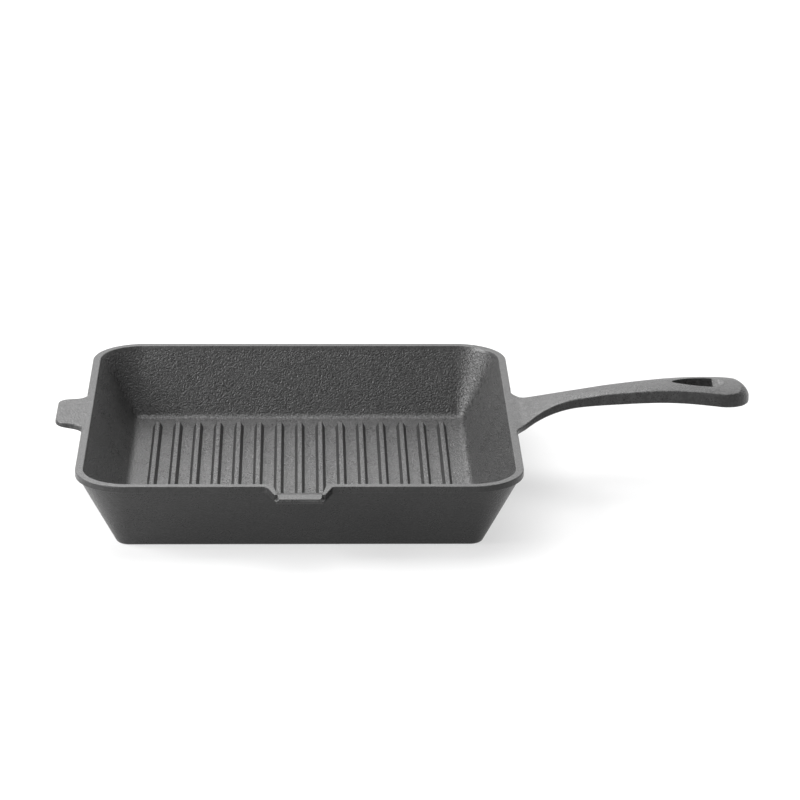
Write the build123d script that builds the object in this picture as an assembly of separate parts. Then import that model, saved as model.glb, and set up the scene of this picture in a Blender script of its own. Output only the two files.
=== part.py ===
from build123d import *
import math
import os

# Cast iron grill pan, in millimetres and degrees.
# Origin: centre of the flat underside. X runs along the handle, Y to the back, Z up.

# Pan body
rim_side = 267
pan_height = 46
floor_thickness = 4
wall_thickness = 4.4
base_side = 218.5
base_corner_radius = 7.75
rim_band_height = 4.1
rim_band_step = 1.9
foot_fillet_radius = 5.4
base_edge_radius = 2
edge_round = 0.6

# Grill ribs
rib_count = 15
rib_end_setback = 10
rib_side_setback = 9.8
rib_foot_width = 6.2
rib_height = 3.2
rib_draft = 28.5
rib_top_round = 0.7

# Pour spout in the front wall
spout_root_width = 38.8
spout_nose_width = 27.2
spout_reach = 17.3
spout_belly_depth = 12.2
spout_belly_draft = 45
spout_nose_band = 1
spout_cheek_reach = 13.2
spout_channel_width = 31.8
spout_channel_nose_width = 25.6
spout_channel_depth = 7.2
spout_lip_drop = 1.5
spout_lip_fall = 0.3
spout_lip_width = 7
spout_lip_end_width = 22.2
spout_lip_setback = 1.4
spout_knee_radius = 2.6
spout_channel_knee_radius = 1.8
spout_under_round = 0.8
spout_shoulder = 3
spout_block_height = 17

# Helper tab on the left wall
tab_reach = 17.1
tab_rise = 0.5
tab_end_thickness = 3
tab_root_width = 51
tab_end_width = 42
tab_corner_radius = 8
tab_root_radius = 8
tab_edge_round = 0.9
tab_shoulder = 8

# Handle on the right wall
handle_reach = 145.7
handle_shoulder = 9
handle_root_width = 70
handle_root_radius = 13
waist_reach = 40
waist_width = 19
eye_width = 34.4
handle_rise = 17.6
handle_crown = 2.2
handle_end_thickness = 9.25
handle_top_round = 1.2
handle_under_round = 1.6
shank_lead = 2
eye_lead = 5.5

handle_root_crown_share = 0.02
# Each row: shares of the handle's reach, rise, thickening and crown
handle_line_shares = (
    (0.09, 0.22, 0.155, 0.06),
    (0.18, 0.475, 0.31, 0.2),
    (0.26, 0.622, 0.39, 0.36),
    (0.37, 0.77, 0.58, 0.48),
    (0.52, 0.91, 0.74, 0.62),
    (0.72, 1, 0.855, 0.92),
    (0.9, 0.93, 0.88, 1),
    (0.96, 0.875, 0.82, 1),
    (1.02, 0.785, 0.72, 1),
)

# Rounded end of the handle: a quarter ellipse turned about an upright axis
dome_axis_setback = 27
dome_radius = 27.2
dome_run = 10.5
dome_fall = 9.3
dome_foot_height = 9.5

# Teardrop hang hole, with a bowl in place of its wide end
hole_end_margin = 16.3
hole_length = 30.9
hole_width = 14.4
hole_tip_radius = 1.5
hole_side_radius = 45
hole_draft = 8
bowl_radius = 18
bowl_bottom_height = 16.8
bowl_lead = 0.9

# How far a cutting block runs past what it cuts
overrun = 5

# Most of the floor before a wall's foot that the fillet there may take
foot_fillet_share = 0.95

# How level or upright a face has to be, as the Z part of its direction
level_facing = 0.5
upright_facing = 0.2

rim_half = rim_side / 2
band_inner = rim_half - rim_band_step
band_under = pan_height - rim_band_height
corner_axis = base_side / 2 - base_corner_radius
draft_run = (band_inner - base_side / 2) / band_under
wall_run = wall_thickness * math.hypot(1, draft_run)
rib_length = 2 * (corner_axis - rib_end_setback)
rib_pitch = 2 * (corner_axis - rib_side_setback) / (rib_count - 1)
touch = edge_round / 10
tab_shoulder_y = tab_root_width / 2 + tab_shoulder
spout_shoulder_y = spout_root_width / 2 + spout_shoulder
handle_shoulder_y = handle_root_width / 2 + handle_shoulder
flare_widening = (handle_root_width - waist_width) / 2
flare_radius = (waist_reach**2 + flare_widening**2) / (2 * flare_widening)
above_handle = pan_height + 2 * handle_rise
hole_end_reach = handle_reach - hole_end_margin
hole_tip_reach = hole_end_reach - hole_length


def outer_wall_at(height):
    """Distance of the wall's outer face from the centre, at a height."""
    return band_inner - (band_under - height) * draft_run


def inner_wall_at(height):
    """Distance of the wall's inner face from the centre, at a height."""
    return outer_wall_at(height) - wall_run


def wall_middle_at(height):
    """Distance of the middle of the wall from the centre, at a height."""
    return outer_wall_at(height) - wall_run / 2


def block(corner_a, corner_b):
    """A box between two corners."""
    a = Vector(*corner_a)
    b = Vector(*corner_b)
    size = b - a
    middle = (a + b) * 0.5
    return Pos(*middle) * Box(abs(size.X), abs(size.Y), abs(size.Z))


def upright_slice(outline, width):
    """A plate standing along X with its outline seen from the front, centred on Y = 0."""
    return extrude(Plane.XZ.offset(-width / 2) * outline, amount=width).solids()[0]


def foot_fillet():
    """Radius of the fillet at the wall's inner foot, kept within the floor in front of it."""
    room = inner_wall_at(floor_thickness) - corner_axis
    turn = (math.pi / 2 - math.atan(draft_run)) / 2
    return min(foot_fillet_radius, foot_fillet_share * room / math.tan(turn))


def wall_section(rim_round):
    """The wall, its rim and its foot, cut across, at the pan's right side."""
    outline = [
        (corner_axis, 0),
        (outer_wall_at(0), 0),
        (band_inner, band_under),
        (rim_half, band_under),
        (rim_half, pan_height),
        (inner_wall_at(pan_height), pan_height),
        (inner_wall_at(floor_thickness), floor_thickness),
        (corner_axis, floor_thickness),
    ]
    radii = [0, base_edge_radius, 0, edge_round, rim_round, rim_round, foot_fillet(), 0]
    return make_face(FilletPolyline(*outline, radius=radii, close=True).edges())


def plain_wall(rim_round=edge_round):
    return upright_slice(wall_section(rim_round), 2 * corner_axis)


def wall_with_seat(shoulder_y):
    """A wall without the stretch of rim band that belongs to a tab or a handle."""
    low = (band_inner, -shoulder_y, band_under)
    high = (rim_half + overrun, shoulder_y, pan_height + overrun)
    return plain_wall() - block(low, high)


def corner_piece():
    """A quarter turn of the wall's section about the corner's axis."""
    upright = Plane.XZ * Pos(-corner_axis, 0) * wall_section(edge_round)
    quarter = revolve(upright, axis=Axis.Z, revolution_arc=90)
    return Pos(corner_axis, corner_axis, 0) * quarter


def floor_plate():
    side = 2 * corner_axis
    return block((-corner_axis, -corner_axis, 0), (corner_axis, corner_axis, floor_thickness))


def grill_rib(place):
    """A drafted bar with round ends, standing on the floor."""
    foot = Plane.XY.offset(floor_thickness) * SlotOverall(rib_length, rib_foot_width, rotation=90)
    bar = extrude(foot, amount=rib_height, taper=rib_draft)
    bar = fillet(bar.faces().sort_by(Axis.Z)[-1].edges(), rib_top_round)
    return Pos(place, 0, 0) * bar


def outline_edges(solid, towards, seam_x):
    """Edges where the top or underside of a solid meets its sides, but for the rim's seam."""
    level = ShapeList()
    upright = ShapeList()
    for face in solid.faces():
        facing = face.normal_at(face.center()).Z
        if facing * towards > level_facing:
            level.append(face)
        if abs(facing) < upright_facing:
            upright.append(face)
    shared = level.edges() & upright.edges()
    return ShapeList([edge for edge in shared if (edge @ 0.5).X > seam_x + touch])


def helper_tab():
    """A tab that thins towards its end, with the stretch of rim band that it grows from."""
    end = rim_half + tab_reach
    end_top = pan_height + tab_rise
    outline = [
        (band_inner, tab_shoulder_y),
        (rim_half, tab_shoulder_y),
        (rim_half, tab_root_width / 2),
        (end, tab_end_width / 2),
    ]
    other_side = [(x, -y) for x, y in reversed(outline)]
    radii = [0, 0, tab_root_radius, tab_corner_radius, tab_corner_radius, tab_root_radius, 0, 0]
    plan = make_face(FilletPolyline(*outline, *other_side, radius=radii, close=True).edges())
    side = Polyline(
        (band_inner, band_under),
        (end, end_top - tab_end_thickness),
        (end, end_top),
        (band_inner, pan_height),
        close=True,
    )
    plate = extrude(plan, amount=2 * pan_height) & upright_slice(make_face(side), 2 * tab_shoulder_y)
    plate = plate.solids()[0]
    rounded = outline_edges(plate, 1, band_inner) + outline_edges(plate, -1, band_inner)
    rounded = [edge for edge in rounded if abs((edge @ 0.5).Y) < tab_shoulder_y - touch]
    return fillet(rounded, tab_edge_round)


def spout_half_width(x):
    """Half of the spout's width at a place along it: its sides run straight in to the nose."""
    narrowing = (spout_root_width - spout_nose_width) / 2 / spout_reach
    return spout_root_width / 2 - (x - rim_half) * narrowing


def mirrored_face(outline):
    """A face from one side of an outline, given along X, and its mirror image across X."""
    other_side = [(x, -y) for x, y in reversed(outline)]
    return make_face(Polyline(*outline, *other_side, close=True))


def spout_cheeks():
    """The spout's rim band, with a shoulder on each side that belongs to the wall's rim."""
    end = rim_half + spout_reach
    outline = [
        (band_inner, spout_shoulder_y),
        (rim_half, spout_shoulder_y),
        (rim_half, spout_half_width(rim_half)),
        (end, spout_half_width(end)),
    ]
    other_side = [(x, -y) for x, y in reversed(outline)]
    radii = [0, 0, spout_knee_radius, 0, 0, spout_knee_radius, 0, 0]
    plan = make_face(FilletPolyline(*outline, *other_side, radius=radii, close=True).edges())
    return extrude(Plane.XY.offset(band_under) * plan, amount=rim_band_height)


def spout_belly():
    """The scoop's underside, drawn in below the band and running back into the wall."""
    end = rim_half + spout_reach
    foot = pan_height - spout_belly_depth
    plan = mirrored_face([(corner_axis, spout_half_width(corner_axis)), (end, spout_half_width(end))])
    drafted = extrude(Plane.XY.offset(band_under) * plan, amount=foot - band_under, taper=spout_belly_draft)
    side = Polyline(
        (end, band_under),
        (wall_middle_at(band_under), band_under),
        (wall_middle_at(foot), foot),
        close=True,
    )
    return drafted & upright_slice(make_face(side), 2 * spout_root_width)


def spout_channel():
    """What is cut away for the pour: a scoop up from the inner wall, and the lip in front."""
    lip_start = rim_half + spout_reach - spout_lip_setback - spout_lip_width
    lip_level = pan_height - spout_lip_drop
    scoop_level = pan_height - spout_channel_depth
    fall = spout_lip_fall / spout_lip_width
    far = rim_half + spout_reach + overrun
    above = pan_height + overrun
    side = make_face(Polyline(
        (inner_wall_at(scoop_level), scoop_level),
        (lip_start, lip_level),
        (far, lip_level - (far - lip_start) * fall),
        (far, above),
        (inner_wall_at(scoop_level), above),
        close=True,
    ))
    narrowing = (spout_channel_width - spout_channel_nose_width) / 2
    narrowing = narrowing / (rim_half + spout_cheek_reach - inner_wall_at(pan_height))
    near = inner_wall_at(scoop_level) - overrun
    near_y = spout_channel_width / 2 + (inner_wall_at(pan_height) - near) * narrowing
    far_y = spout_channel_width / 2 - (far - inner_wall_at(pan_height)) * narrowing
    plan = mirrored_face([(near, near_y), (far, far_y)])
    return extrude(plan, amount=above) & upright_slice(side, spout_root_width)


def spout_nose():
    """The bevelled nose in front of the cheeks, that carries the lip."""
    cheek_end = rim_half + spout_cheek_reach
    end = rim_half + spout_reach
    foot = mirrored_face([(cheek_end, spout_half_width(cheek_end)), (end, spout_half_width(end))])
    crest = mirrored_face([
        (cheek_end, spout_channel_nose_width / 2),
        (end - spout_lip_setback, spout_lip_end_width / 2),
    ])
    low = Plane.XY.offset(band_under + spout_nose_band)
    high = Plane.XY.offset(pan_height - spout_lip_drop)
    return loft([low * foot, high * crest], ruled=True)


def spout_nose_edges(body):
    """The nose's lower front edge and the two short uprights at its ends."""
    end = rim_half + spout_reach
    chosen = ShapeList()
    for edge in body.edges():
        box = edge.bounding_box()
        if abs(box.min.X - end) < touch and box.min.Z < band_under + touch:
            chosen.append(edge)
    return chosen


def spout_channel_knees(body):
    """The two upright edges where the channel's sides leave the inner wall."""
    height = pan_height - spout_channel_depth / 2
    knee = (inner_wall_at(height), spout_channel_width / 2, height)
    right = body.edges().sort_by_distance(knee)[0]
    left = body.edges().sort_by_distance((knee[0], -knee[1], knee[2]))[0]
    return [left, right]


def spout_rim_edges(body):
    """Top edges of the spout, level with the rim, but for its two ends and the cheeks' steps."""
    cheek_end = rim_half + spout_cheek_reach
    chosen = ShapeList()
    for edge in body.edges():
        middle = edge @ 0.5
        on_rim = abs(middle.Z - pan_height) < touch
        on_end = abs(middle.Y) > spout_shoulder_y - touch
        on_step = abs(middle.X - cheek_end) < touch
        if on_rim and not on_end and not on_step:
            chosen.append(edge)
    return chosen


def spout_span():
    """The stretch of wall, rim included, that the spout takes up."""
    low = (corner_axis, -spout_shoulder_y, pan_height - spout_block_height)
    high = (rim_half + overrun, spout_shoulder_y, pan_height + overrun)
    return block(low, high)


def pour_spout():
    """The spout with the stretch of wall that it is drawn out of, reaching out along X."""
    step = block(
        (rim_half + spout_cheek_reach, -spout_root_width, band_under + spout_nose_band),
        (rim_half + spout_reach + overrun, spout_root_width, pan_height + overrun),
    )
    wall = plain_wall(0) & spout_span()
    body = wall + spout_belly() + spout_cheeks() - step + spout_nose() - spout_channel()
    body = fillet(spout_nose_edges(body.solids()[0]), spout_under_round)
    body = fillet(spout_channel_knees(body), spout_channel_knee_radius)
    return fillet(spout_rim_edges(body), edge_round)


def handle_plan():
    """The handle seen from above: flare, waist and round end in tangent arcs."""
    waist = Vector(rim_half + waist_reach, waist_width / 2)
    nose_radius = eye_width / 2
    grip_run = handle_reach - nose_radius - waist_reach
    grip_radius = (grip_run**2 + waist.Y**2 - nose_radius**2) / (2 * (nose_radius - waist.Y))
    grip_turn = math.degrees(math.asin(grip_run / (grip_radius + nose_radius)))
    flare_turn = math.degrees(math.asin(waist_reach / flare_radius))
    flare = JernArc(waist, (-1, 0), flare_radius, -flare_turn)
    grip = JernArc(waist, (1, 0), grip_radius, grip_turn)
    nose = JernArc(grip @ 1, grip % 1, nose_radius, -90 - grip_turn)
    root = flare @ 1
    rim_face = Line(root, (rim_half, handle_shoulder_y))
    shoulder = Line((rim_half, handle_shoulder_y), (band_inner, handle_shoulder_y))
    seam = Line((band_inner, handle_shoulder_y), (band_inner, 0))
    middle = Line((band_inner, 0), nose @ 1)
    half = make_face([flare, grip, nose, rim_face, shoulder, seam, middle])
    half = fillet(half.vertices().sort_by_distance(root)[0], handle_root_radius)
    return half + mirror(half, about=Plane.XZ)


def handle_half_width(x):
    """Half of the handle's width at a place along it, from the arcs of its plan."""
    from_waist = x - rim_half - waist_reach
    if from_waist < 0:
        return waist_width / 2 + flare_radius - math.sqrt(flare_radius**2 - from_waist**2)
    grip_run = handle_reach - eye_width / 2 - waist_reach
    widening = (eye_width - waist_width) / 2
    return waist_width / 2 + widening * (from_waist / grip_run) ** 2


def handle_section(x, half_width, edge_level, thickness, crown):
    """An upright slice across the handle, wider than its plan, with a crowned top."""
    reach_y = half_width + overrun / 2
    radius = (half_width**2 + crown**2) / (2 * crown)
    crest = edge_level + crown
    side_level = crest - radius + math.sqrt(radius**2 - reach_y**2)
    under = edge_level - thickness
    outline = [
        ThreePointArc((-reach_y, side_level), (0, crest), (reach_y, side_level)),
        Line((reach_y, side_level), (reach_y, under)),
        Line((reach_y, under), (-reach_y, under)),
        Line((-reach_y, under), (-reach_y, side_level)),
    ]
    return Plane((x, 0, 0), x_dir=(0, 1, 0), z_dir=(1, 0, 0)) * make_face(outline)


def handle_bar():
    """The handle's rise, its thickening and its crown, lofted through upright slices."""
    flat = handle_root_crown_share * handle_crown
    thickening = handle_end_thickness - rim_band_height
    root = (handle_shoulder_y, pan_height, rim_band_height, flat)
    sections = [handle_section(band_inner, *root), handle_section(rim_half, *root)]
    for reach_share, rise_share, thick_share, crown_share in handle_line_shares:
        x = rim_half + reach_share * handle_reach
        edge_level = pan_height + rise_share * handle_rise
        thickness = rim_band_height + thick_share * thickening
        crown = crown_share * handle_crown
        sections.append(handle_section(x, handle_half_width(x), edge_level, thickness, crown))
    return loft(sections)


def hang_hole_outline():
    """A teardrop of four tangent arcs, with its point towards the pan."""
    end_radius = hole_width / 2
    tip_centre = Vector(rim_half + hole_tip_reach + hole_tip_radius, 0)
    end_centre = Vector(rim_half + hole_end_reach - end_radius, 0)
    to_tip = hole_side_radius - hole_tip_radius
    to_end = hole_side_radius - end_radius
    apart = end_centre.X - tip_centre.X
    along = (to_tip**2 - to_end**2 + apart**2) / (2 * apart)
    side_centre = tip_centre - Vector(-along, math.sqrt(to_tip**2 - along**2))
    tip_touch = side_centre + (tip_centre - side_centre).normalized() * hole_side_radius
    end_touch = side_centre + (end_centre - side_centre).normalized() * hole_side_radius
    halfway = ((tip_touch + end_touch) * 0.5 - side_centre).normalized() * hole_side_radius
    side = ThreePointArc(tip_touch, side_centre + halfway, end_touch)
    tip = ThreePointArc(tip_touch, (rim_half + hole_tip_reach, 0), (tip_touch.X, -tip_touch.Y))
    end = ThreePointArc(end_touch, (rim_half + hole_end_reach, 0), (end_touch.X, -end_touch.Y))
    return make_face([side, tip, end, mirror(side, about=Plane.XZ)])


def hang_hole():
    """What is cut away for the hang hole: a drafted teardrop, with a bowl at its wide end."""
    middle = pan_height + handle_rise - handle_end_thickness / 2
    outline = Plane.XY.offset(middle) * hang_hole_outline()
    upper = extrude(outline, amount=handle_end_thickness, taper=-hole_draft)
    lower = extrude(outline, amount=-handle_end_thickness, taper=-hole_draft)
    bowl_x = rim_half + hole_end_reach - hole_width / 2
    bowl = Pos(bowl_x, 0, pan_height + bowl_bottom_height + bowl_radius) * Sphere(bowl_radius)
    near = (bowl_x + bowl_lead, -hole_width, 0)
    kept = block(near, (bowl_x + hole_width, hole_width, above_handle)) - bowl
    return upper + lower - kept


def end_dome():
    """What is cut away above the rounded end of the handle."""
    foot = pan_height + dome_foot_height
    start = dome_radius - dome_run
    far = dome_radius + overrun
    arc = EllipticalCenterArc((start, foot), dome_run, dome_fall, arc_size=90)
    outline = [
        arc,
        Line(arc @ 1, (start, above_handle)),
        Line((start, above_handle), (far, above_handle)),
        Line((far, above_handle), (far, foot)),
        Line((far, foot), arc @ 0),
    ]
    turned = revolve(Plane.XZ * make_face(outline), axis=Axis.Z, revolution_arc=180)
    return Pos(rim_half + handle_reach - dome_axis_setback, 0, 0) * Rot(0, 0, -90) * turned


def handle_casting():
    """The whole handle, before it is divided into its regions."""
    solid = (extrude(handle_plan(), amount=above_handle) & handle_bar()).solids()[0]
    for towards, radius in ((1, handle_top_round), (-1, handle_under_round)):
        rounded = outline_edges(solid, towards, band_inner)
        rounded = [edge for edge in rounded if abs((edge @ 0.5).Y) < handle_shoulder_y - touch]
        solid = fillet(rounded, radius).solids()[0]
    return (solid - hang_hole() - end_dome()).solids()[0]


def handle_region(handle, start, end):
    """The stretch of the handle between two distances from the rim's face."""
    return handle & block((start, -handle_shoulder_y, 0), (end, handle_shoulder_y, above_handle))


def make_parts():
    parts = {"floor_plate": floor_plate()}
    first_rib = rib_side_setback - corner_axis
    for number in range(rib_count):
        parts[f"grill_rib_{number + 1:02d}"] = grill_rib(first_rib + number * rib_pitch)

    parts["right_wall"] = wall_with_seat(handle_shoulder_y)
    parts["back_wall"] = Rot(0, 0, 90) * plain_wall()
    parts["left_wall"] = Rot(0, 0, 180) * wall_with_seat(tab_shoulder_y)
    parts["front_wall"] = Rot(0, 0, -90) * (plain_wall() - spout_span())

    for name, turn in (("back_right", 0), ("back_left", 90), ("front_left", 180), ("front_right", -90)):
        parts[f"{name}_corner"] = Rot(0, 0, turn) * corner_piece()

    parts["pour_spout"] = Rot(0, 0, -90) * pour_spout()
    parts["helper_tab"] = Rot(0, 0, 180) * helper_tab()

    handle = handle_casting()
    shank_start = rim_half + waist_reach + shank_lead
    eye_start = rim_half + hole_tip_reach - eye_lead
    parts["handle_root"] = handle_region(handle, band_inner, shank_start)
    parts["handle_shank"] = handle_region(handle, shank_start, eye_start)
    parts["handle_eye"] = handle_region(handle, eye_start, rim_half + handle_reach + overrun)
    return parts


os.makedirs("parts", exist_ok=True)
for node, shape in make_parts().items():
    solid = shape.solids()[0]
    export_step(solid, f"parts/{node}.step")
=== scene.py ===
import math
import bpy
from mathutils import Matrix, Vector

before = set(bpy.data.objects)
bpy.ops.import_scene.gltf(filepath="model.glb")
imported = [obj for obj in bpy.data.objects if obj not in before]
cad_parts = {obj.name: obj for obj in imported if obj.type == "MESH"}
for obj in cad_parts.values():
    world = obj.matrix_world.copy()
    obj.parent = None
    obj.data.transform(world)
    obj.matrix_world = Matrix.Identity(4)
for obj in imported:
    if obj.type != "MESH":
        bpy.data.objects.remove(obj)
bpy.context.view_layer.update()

# The photograph's camera, in metres and radians
CAMERA_PLACE = (0.00032, -2.13746, 0.79879)
CAMERA_ELEVATION = 0.33545
CAMERA_YAW = -0.028955
CAMERA_ROLL = 0.0091194
CAMERA_REACH = 20
SENSOR_WIDTH = 36
FOCAL_PIXELS = 3646.9
FRAME_PIXELS = 800

# The studio as it lights the iron's dull colour, where 1 is white. The three spans are along a
# direction's Y, Z and X: towards the back, up past the low part, and towards the right
STUDIO_BACK = 0.7
STUDIO_FRONT = 0.05
STUDIO_CEILING = 0.12
STUDIO_RIGHT_SHARE = 0.3
STUDIO_BACKWARD = (-0.3, 0.8)
STUDIO_UPWARD = (0.3, 0.55)
STUDIO_RIGHTWARD = (0, 0.7)

# The paper under the pan, with lengths in metres. Its glow is seen, near the pan and far from
# it. Its hidden glow only lights dull colour, to the left of the pan and elsewhere
PAPER_HALF = 6.0
PAPER_DROP = 0.0002
PAPER_SHADE = 0.29
PAPER_GLOW = (0.63, 1.0)
PAPER_GLOW_FROM = (0.6, 2.2)
PAPER_HIDDEN_GLOW = (1.6, 0.08)
PAPER_HIDDEN_FROM = (-0.17, -0.06)

# The soft lamps: name, place and size in metres, power in watts. All aim at the pan's foot
LAMP_TARGET = (0.0, 0.0, 0.0)
LAMPS = (
    ("behind", (0.0, 1.7, 1.0), (2.4, 1.0), 10),
    ("overhead", (0.0, 0.4, 1.8), (2.0, 1.6), 38),
    ("high_back", (-0.6, 1.2, 1.5), (1.2, 0.8), 23),
    ("left_side", (-1.52, -0.38, 1.05), (1.4, 0.8), 54),
    ("left_low", (-1.5, -0.4, 0.3), (0.8, 0.4), 4),
    ("front_top", (-0.6, -1.4, 1.15), (0.5, 0.5), 4),
)

# The two skins of the one casting: depth of the sandy relief outside and inside in metres, how
# mottled it is, and its colour
BODY_SKIN = ((0.00008, 0.00028), 0.1, (0.023, 0.0228, 0.0228))
GRIP_SKIN = ((0.00014, 0.00014), 0.35, (0.026, 0.0258, 0.0258))
IRON_SPECULAR = 0.41

# Noise in the iron: features to the metre, detail, roughness and seed
SAND = (700, 2, 0.7, 1)
BROAD = (260, 3, 0.6, 2)
BLOTCH = (24, 3, 0.55, 3)
CLOUD = (70, 4, 0.6, 4)
RUB = (160, 4, 0.65, 5)

# The pits between pebbles of sand: cells to the metre, and how smooth they are
PITS = (950, 0.6)

# The part of each pattern's values that is used
SAND_VALUES = (0.36, 0.64)
PIT_VALUES = (0.2, 0.75)
BROAD_VALUES = (0.35, 0.65)
PATCH_VALUES = (0.3, 0.7)
RUB_VALUES = (0.4, 0.65)

# Where the finish, the painted top light and the painted shade change, in metres: heights at
# the rim and at the ribs' crests, the ends of the ribs, and the inner side of the front wall
RIM_HEIGHT = 0.046
RIB_TOP = 0.0072
BELOW_RIM = (RIM_HEIGHT - 0.003, RIM_HEIGHT - 0.001)
REACHING_RIM = (RIM_HEIGHT - 0.002, RIM_HEIGHT - 0.0005)
BELOW_CREST = (RIB_TOP - 0.0004, RIB_TOP)
REACHING_CREST = (RIB_TOP - 0.0009, RIB_TOP - 0.0002)
PASSING_CREST = (RIB_TOP + 0.0002, RIB_TOP + 0.001)
RIBS_END = (0.096, 0.098)
FRONT_INSIDE = (-0.1305, -0.1285)

# How far up a face looks, as its normal's Z, where each part of the finish, painted top light
# and painted shade begins or ends
UP_COOKING = (0.1, 0.3)
UP_FLOOR = (0.75, 0.95)
UP_PAST_FLANK = (0.75, 0.92)
UP_EDGE = (0.2, 0.5)
UP_PAST_EDGE = (0.8, 0.97)

# Shares of sand and pits in the relief and in the colour, where the pits' share paints shade
# into them, and the depth of the broad pattern
RELIEF_SHARES = (0.15, 0.35)
SPECKLE_AND_PIT_SHADE_SHARES = (0.65, 0.35)
BROAD_DEPTH = 0.0004

# Swings in brightness, and what wear does to it, with painted top light that lightens the
# cooking floor and painted shade that darkens the ribs' flanks
BLOTCH_SHADES = (0.92, 1.07)
CLOUD_SHADES = (0.93, 1.06)
SPECKLE_AND_PIT_SHADE_SWINGS = (0.3, 0.85)
FLOOR_PAINTED_LIGHT = 1.8
WORN_SHADE = 1.6
FLANK_PAINTED_SHADE = 0.2
CREST_WEAR = 0.15
LEAST_WEAR = 0.15

# Roughness, and what pits, wear and the ribs' flanks do to it
ROUGHNESS = (0.3, 0.38)
PIT_ROUGHNESS = 0.06
WORN_SMOOTHNESS = 0.05
FLANK_ROUGHNESS = 0.2


def make_camera():
    """The camera at the photograph's place, looking down at the pan from the front."""
    sin_el, cos_el = math.sin(CAMERA_ELEVATION), math.cos(CAMERA_ELEVATION)
    sin_yaw, cos_yaw = math.sin(CAMERA_YAW), math.cos(CAMERA_YAW)
    forward = Vector((-sin_yaw * cos_el, cos_yaw * cos_el, -sin_el))
    level_right = Vector((cos_yaw, sin_yaw, 0))
    level_up = level_right.cross(forward)
    right = math.cos(CAMERA_ROLL) * level_right + math.sin(CAMERA_ROLL) * level_up
    up = math.cos(CAMERA_ROLL) * level_up - math.sin(CAMERA_ROLL) * level_right
    data = bpy.data.cameras.new("photo_camera")
    data.sensor_width = SENSOR_WIDTH
    data.lens = FOCAL_PIXELS * SENSOR_WIDTH / FRAME_PIXELS
    data.clip_end = CAMERA_REACH
    camera = bpy.data.objects.new("photo_camera", data)
    bpy.context.scene.collection.objects.link(camera)
    turn = Matrix((right, up, -forward)).transposed().to_4x4()
    camera.matrix_world = Matrix.Translation(CAMERA_PLACE) @ turn
    bpy.context.scene.camera = camera


class Nodes:
    """A short hand for building the node tree of a material or a world."""

    def __init__(self, name, kind=bpy.data.materials):
        self.owner = kind.new(name)
        self.owner.use_nodes = True
        self.tree = self.owner.node_tree
        self.tree.nodes.clear()

    def add(self, kind, **settings):
        node = self.tree.nodes.new(kind)
        for key, value in settings.items():
            setattr(node, key, value)
        return node

    def feed(self, socket, value):
        """Links a socket to another, or sets it to a constant."""
        if isinstance(value, bpy.types.NodeSocket):
            self.tree.links.new(value, socket)
        else:
            socket.default_value = value

    def noise(self, place, scale, detail, roughness, seed):
        """Smooth noise from 0 to 1, scale features to the metre."""
        node = self.add("ShaderNodeTexNoise", noise_dimensions="4D")
        self.feed(node.inputs["Vector"], place)
        self.feed(node.inputs["W"], seed)
        self.feed(node.inputs["Scale"], scale)
        self.feed(node.inputs["Detail"], detail)
        self.feed(node.inputs["Roughness"], roughness)
        return node.outputs["Fac"]

    def cells(self, place, scale, smoothness):
        """Distance to the nearest cell centre, as the pebbles of a sand casting have."""
        node = self.add("ShaderNodeTexVoronoi", feature="SMOOTH_F1")
        self.feed(node.inputs["Vector"], place)
        self.feed(node.inputs["Scale"], scale)
        self.feed(node.inputs["Smoothness"], smoothness)
        return node.outputs["Distance"]

    def math(self, operation, first, second=0.0):
        node = self.add("ShaderNodeMath", operation=operation)
        self.feed(node.inputs[0], first)
        self.feed(node.inputs[1], second)
        return node.outputs[0]

    def product(self, first, *others):
        """The values multiplied together, from left to right."""
        for value in others:
            first = self.math("MULTIPLY", first, value)
        return first

    def weighed(self, first, second, shares):
        """The sum of two values, each times its share."""
        first = self.math("MULTIPLY", first, shares[0])
        return self.math("ADD", first, self.math("MULTIPLY", second, shares[1]))

    def span(self, value, from_low, from_high, to_low, to_high):
        """Maps a value smoothly from one range to another, held inside it."""
        node = self.add("ShaderNodeMapRange", clamp=True, interpolation_type="SMOOTHSTEP")
        for socket, number in zip(node.inputs[1:5], (from_low, from_high, to_low, to_high)):
            socket.default_value = number
        self.feed(node.inputs[0], value)
        return node.outputs[0]

    def rise(self, value, low, high):
        """0 up to low and 1 from high on."""
        return self.span(value, low, high, 0, 1)

    def fall(self, value, low, high):
        """1 up to low and 0 from high on."""
        return self.span(value, low, high, 1, 0)

    def axis(self, vector, name):
        node = self.add("ShaderNodeSeparateXYZ")
        self.feed(node.inputs[0], vector)
        return node.outputs[name]

    def mix(self, share, first, second):
        node = self.add("ShaderNodeMix", data_type="FLOAT")
        self.feed(node.inputs[0], share)
        self.feed(node.inputs[2], first)
        self.feed(node.inputs[3], second)
        return node.outputs[0]

    def shown(self):
        """1 for what is seen directly, mirrored in the iron or through something clear."""
        path = self.add("ShaderNodeLightPath").outputs
        seen = self.math("MAXIMUM", path["Is Camera Ray"], path["Is Glossy Ray"])
        return self.math("MAXIMUM", seen, path["Is Transmission Ray"])


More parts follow.
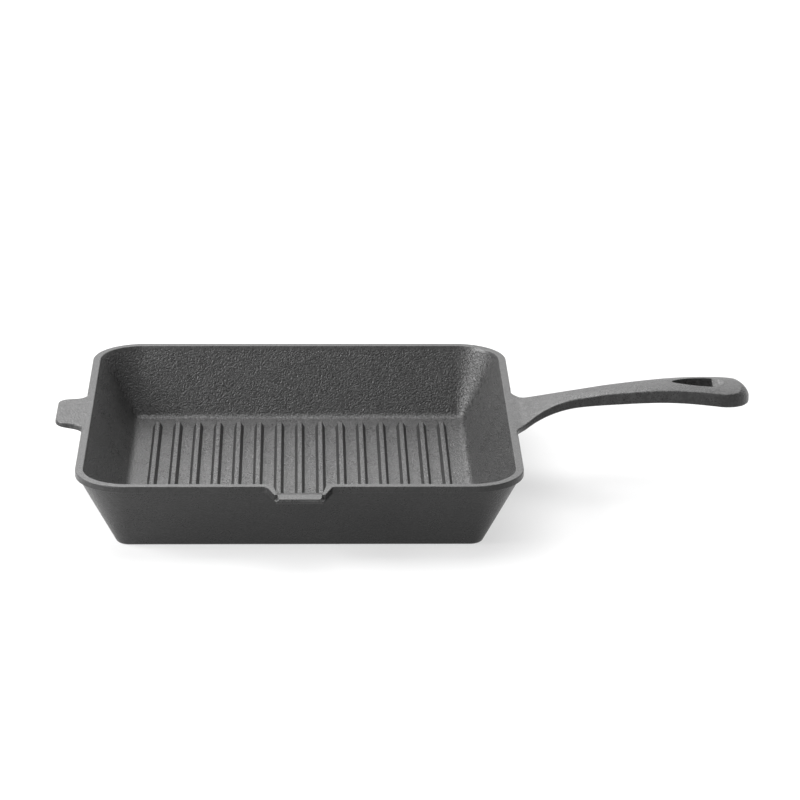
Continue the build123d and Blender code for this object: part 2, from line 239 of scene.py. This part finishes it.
def find_regions(n, place):
    """Shares from 0 to 1: cooking side, its floor, ribs' flanks, rubbed edges and crests."""
    up = n.axis(n.add("ShaderNodeNewGeometry").outputs["True Normal"], "Z")
    height = n.axis(place, "Z")
    sunken = n.product(n.fall(height, *BELOW_RIM), n.rise(n.axis(place, "Y"), *FRONT_INSIDE))
    cooking = n.product(sunken, n.rise(up, *UP_COOKING))
    # The floor share carries painted top light: the colour of up-facing cooking surfaces is
    # made lighter
    floor = n.product(sunken, n.rise(up, *UP_FLOOR))

    # The flank share carries painted shade: the colour of the ribs' sides is made darker
    flank = n.product(sunken, n.fall(up, *UP_PAST_FLANK), n.fall(height, *BELOW_CREST))
    for axis in "XY":
        across = n.math("ABSOLUTE", n.axis(place, axis))
        flank = n.product(flank, n.fall(across, *RIBS_END))

    edge = n.product(n.rise(up, *UP_EDGE), n.fall(up, *UP_PAST_EDGE))
    edge = n.product(edge, n.rise(height, *REACHING_RIM))
    crest = n.product(floor, n.rise(height, *REACHING_CREST), n.fall(height, *PASSING_CREST))
    return cooking, floor, flank, edge, crest


def iron(name, relief, mottle, tint):
    """Seasoned cast iron: a sandy skin with pits, oiled patches and rubbed edges.

    Relief is the depth of the skin outside and on the cooking side, in metres.
    """
    n = Nodes(name)
    place = n.add("ShaderNodeTexCoord").outputs["Object"]
    cooking, floor, flank, edge, crest = find_regions(n, place)

    sand = n.span(n.noise(place, *SAND), *SAND_VALUES, -1, 1)
    pits = n.span(n.cells(place, *PITS), *PIT_VALUES, -1, 1)
    broad = n.noise(place, *BROAD)
    blotch = n.noise(place, *BLOTCH)
    cloud = n.noise(place, *CLOUD)
    rub = n.noise(place, *RUB)

    # Bump height in metres
    height = n.product(n.weighed(sand, pits, RELIEF_SHARES), n.mix(cooking, *relief))
    height = n.math("ADD", height, n.math("MULTIPLY", broad, BROAD_DEPTH * mottle))
    bump = n.add("ShaderNodeBump")
    n.feed(bump.inputs["Strength"], 1.0)
    n.feed(bump.inputs["Distance"], 1.0)
    n.feed(bump.inputs["Height"], height)

    # Hands and tools rub the seasoning thin on the rim's and handle's edges, and food rubs the
    # ribs' crests a little
    worn = n.math("ADD", edge, n.math("MULTIPLY", crest, CREST_WEAR))
    worn = n.product(worn, n.span(rub, *RUB_VALUES, LEAST_WEAR, 1))

    # Dull black-grey, darker in oiled patches, with a sandy grain speckle; the pits are darker
    # down in them as painted shade, the cooking floor lighter as painted top light and the
    # ribs' flanks darker as painted shade
    # Painted shade in part: the pits' share of the speckle makes the pits darker, while the
    # sand's share is random grain
    speckle_and_pit_shade = n.weighed(sand, pits, SPECKLE_AND_PIT_SHADE_SHARES)
    speckle_and_pit_shade = n.product(speckle_and_pit_shade, n.mix(cooking, *SPECKLE_AND_PIT_SHADE_SWINGS))
    shade = n.product(
        n.span(blotch, *PATCH_VALUES, *BLOTCH_SHADES),
        n.span(cloud, *PATCH_VALUES, *CLOUD_SHADES),
        n.span(broad, *BROAD_VALUES, 1 - mottle, 1 + mottle),
        n.math("ADD", speckle_and_pit_shade, 1.0),
        # Painted top light: the cooking floor's colour is made lighter
        n.mix(floor, 1.0, FLOOR_PAINTED_LIGHT),
        n.mix(worn, 1.0, WORN_SHADE),
        # Painted shade: the ribs' flanks are made darker
        n.mix(flank, 1.0, FLANK_PAINTED_SHADE),
    )
    colour = n.add("ShaderNodeCombineColor")
    for channel, value in zip(("Red", "Green", "Blue"), tint):
        n.feed(colour.inputs[channel], n.math("MULTIPLY", shade, value))

    roughness = n.span(cloud, *PATCH_VALUES, *ROUGHNESS)
    roughness = n.math("ADD", roughness, n.math("MULTIPLY", pits, PIT_ROUGHNESS))
    roughness = n.math("SUBTRACT", roughness, n.math("MULTIPLY", worn, WORN_SMOOTHNESS))
    roughness = n.math("ADD", roughness, n.math("MULTIPLY", flank, FLANK_ROUGHNESS))

    shader = n.add("ShaderNodeBsdfPrincipled")
    n.feed(shader.inputs["Base Color"], colour.outputs[0])
    n.feed(shader.inputs["Roughness"], roughness)
    n.feed(shader.inputs["Normal"], bump.outputs[0])
    n.feed(shader.inputs["Specular IOR Level"], IRON_SPECULAR)
    out = n.add("ShaderNodeOutputMaterial")
    n.feed(out.inputs["Surface"], shader.outputs[0])
    return n.owner


def dress_nodes():
    """Every region of the casting gets the same iron, and the grips a more mottled skin."""
    body = iron("body_iron", *BODY_SKIN)
    grip = iron("grip_iron", *GRIP_SKIN)
    for name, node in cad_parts.items():
        is_grip = name.startswith("handle") or name == "helper_tab"
        node.data.materials.clear()
        node.data.materials.append(grip if is_grip else body)


def make_world():
    """White wherever it is seen. As light for dull colour it is strongest low at the back."""
    n = Nodes("studio", bpy.data.worlds)
    facing = n.add("ShaderNodeTexCoord").outputs["Generated"]
    behind = n.rise(n.axis(facing, "Y"), *STUDIO_BACKWARD)
    low = n.fall(n.axis(facing, "Z"), *STUDIO_UPWARD)
    right = n.span(n.axis(facing, "X"), *STUDIO_RIGHTWARD, 1, STUDIO_RIGHT_SHARE)
    light = n.mix(low, STUDIO_CEILING, n.mix(behind, STUDIO_FRONT, STUDIO_BACK))
    light = n.mix(n.shown(), n.product(light, right), 1.0)
    sky = n.add("ShaderNodeBackground")
    n.feed(sky.inputs["Strength"], light)
    n.feed(n.add("ShaderNodeOutputWorld").inputs["Surface"], sky.outputs[0])
    bpy.context.scene.world = n.owner


def paper():
    """Matt pale paper whose glow makes it white, and which still takes the pan's shadow."""
    n = Nodes("floor_paper")
    matt = n.add("ShaderNodeBsdfDiffuse")
    n.feed(matt.inputs["Color"], (PAPER_SHADE, PAPER_SHADE, PAPER_SHADE, 1))
    place = n.add("ShaderNodeTexCoord").outputs["Object"]
    away = n.add("ShaderNodeVectorMath", operation="LENGTH")
    n.feed(away.inputs[0], place)
    hidden = n.span(n.axis(place, "X"), *PAPER_HIDDEN_FROM, *PAPER_HIDDEN_GLOW)
    seen = n.span(away.outputs["Value"], *PAPER_GLOW_FROM, *PAPER_GLOW)
    glow = n.add("ShaderNodeEmission")
    n.feed(glow.inputs["Strength"], n.mix(n.shown(), hidden, seen))
    lit = n.add("ShaderNodeAddShader")
    n.feed(lit.inputs[0], matt.outputs[0])
    n.feed(lit.inputs[1], glow.outputs[0])
    n.feed(n.add("ShaderNodeOutputMaterial").inputs["Surface"], lit.outputs[0])
    return n.owner


def make_floor():
    """A plain pale floor just under the pan."""
    mesh = bpy.data.meshes.new("floor")
    half = PAPER_HALF
    corners = [(-half, -half, 0), (half, -half, 0), (half, half, 0), (-half, half, 0)]
    mesh.from_pydata(corners, [], [(0, 1, 2, 3)])
    mesh.materials.append(paper())
    floor = bpy.data.objects.new("floor", mesh)
    floor.location.z = -PAPER_DROP
    bpy.context.scene.collection.objects.link(floor)


def area_lamp(name, place, size, power):
    """A soft rectangular lamp aimed at the pan."""
    data = bpy.data.lights.new(name, "AREA")
    data.shape = "RECTANGLE"
    data.size, data.size_y = size
    data.energy = power
    lamp = bpy.data.objects.new(name, data)
    bpy.context.scene.collection.objects.link(lamp)
    turn = (Vector(LAMP_TARGET) - Vector(place)).to_track_quat("-Z", "Y")
    lamp.matrix_world = Matrix.Translation(place) @ turn.to_matrix().to_4x4()


bpy.context.scene.view_settings.view_transform = "Standard"
make_camera()
dress_nodes()
make_world()
make_floor()
for lamp in LAMPS:
    area_lamp(*lamp)
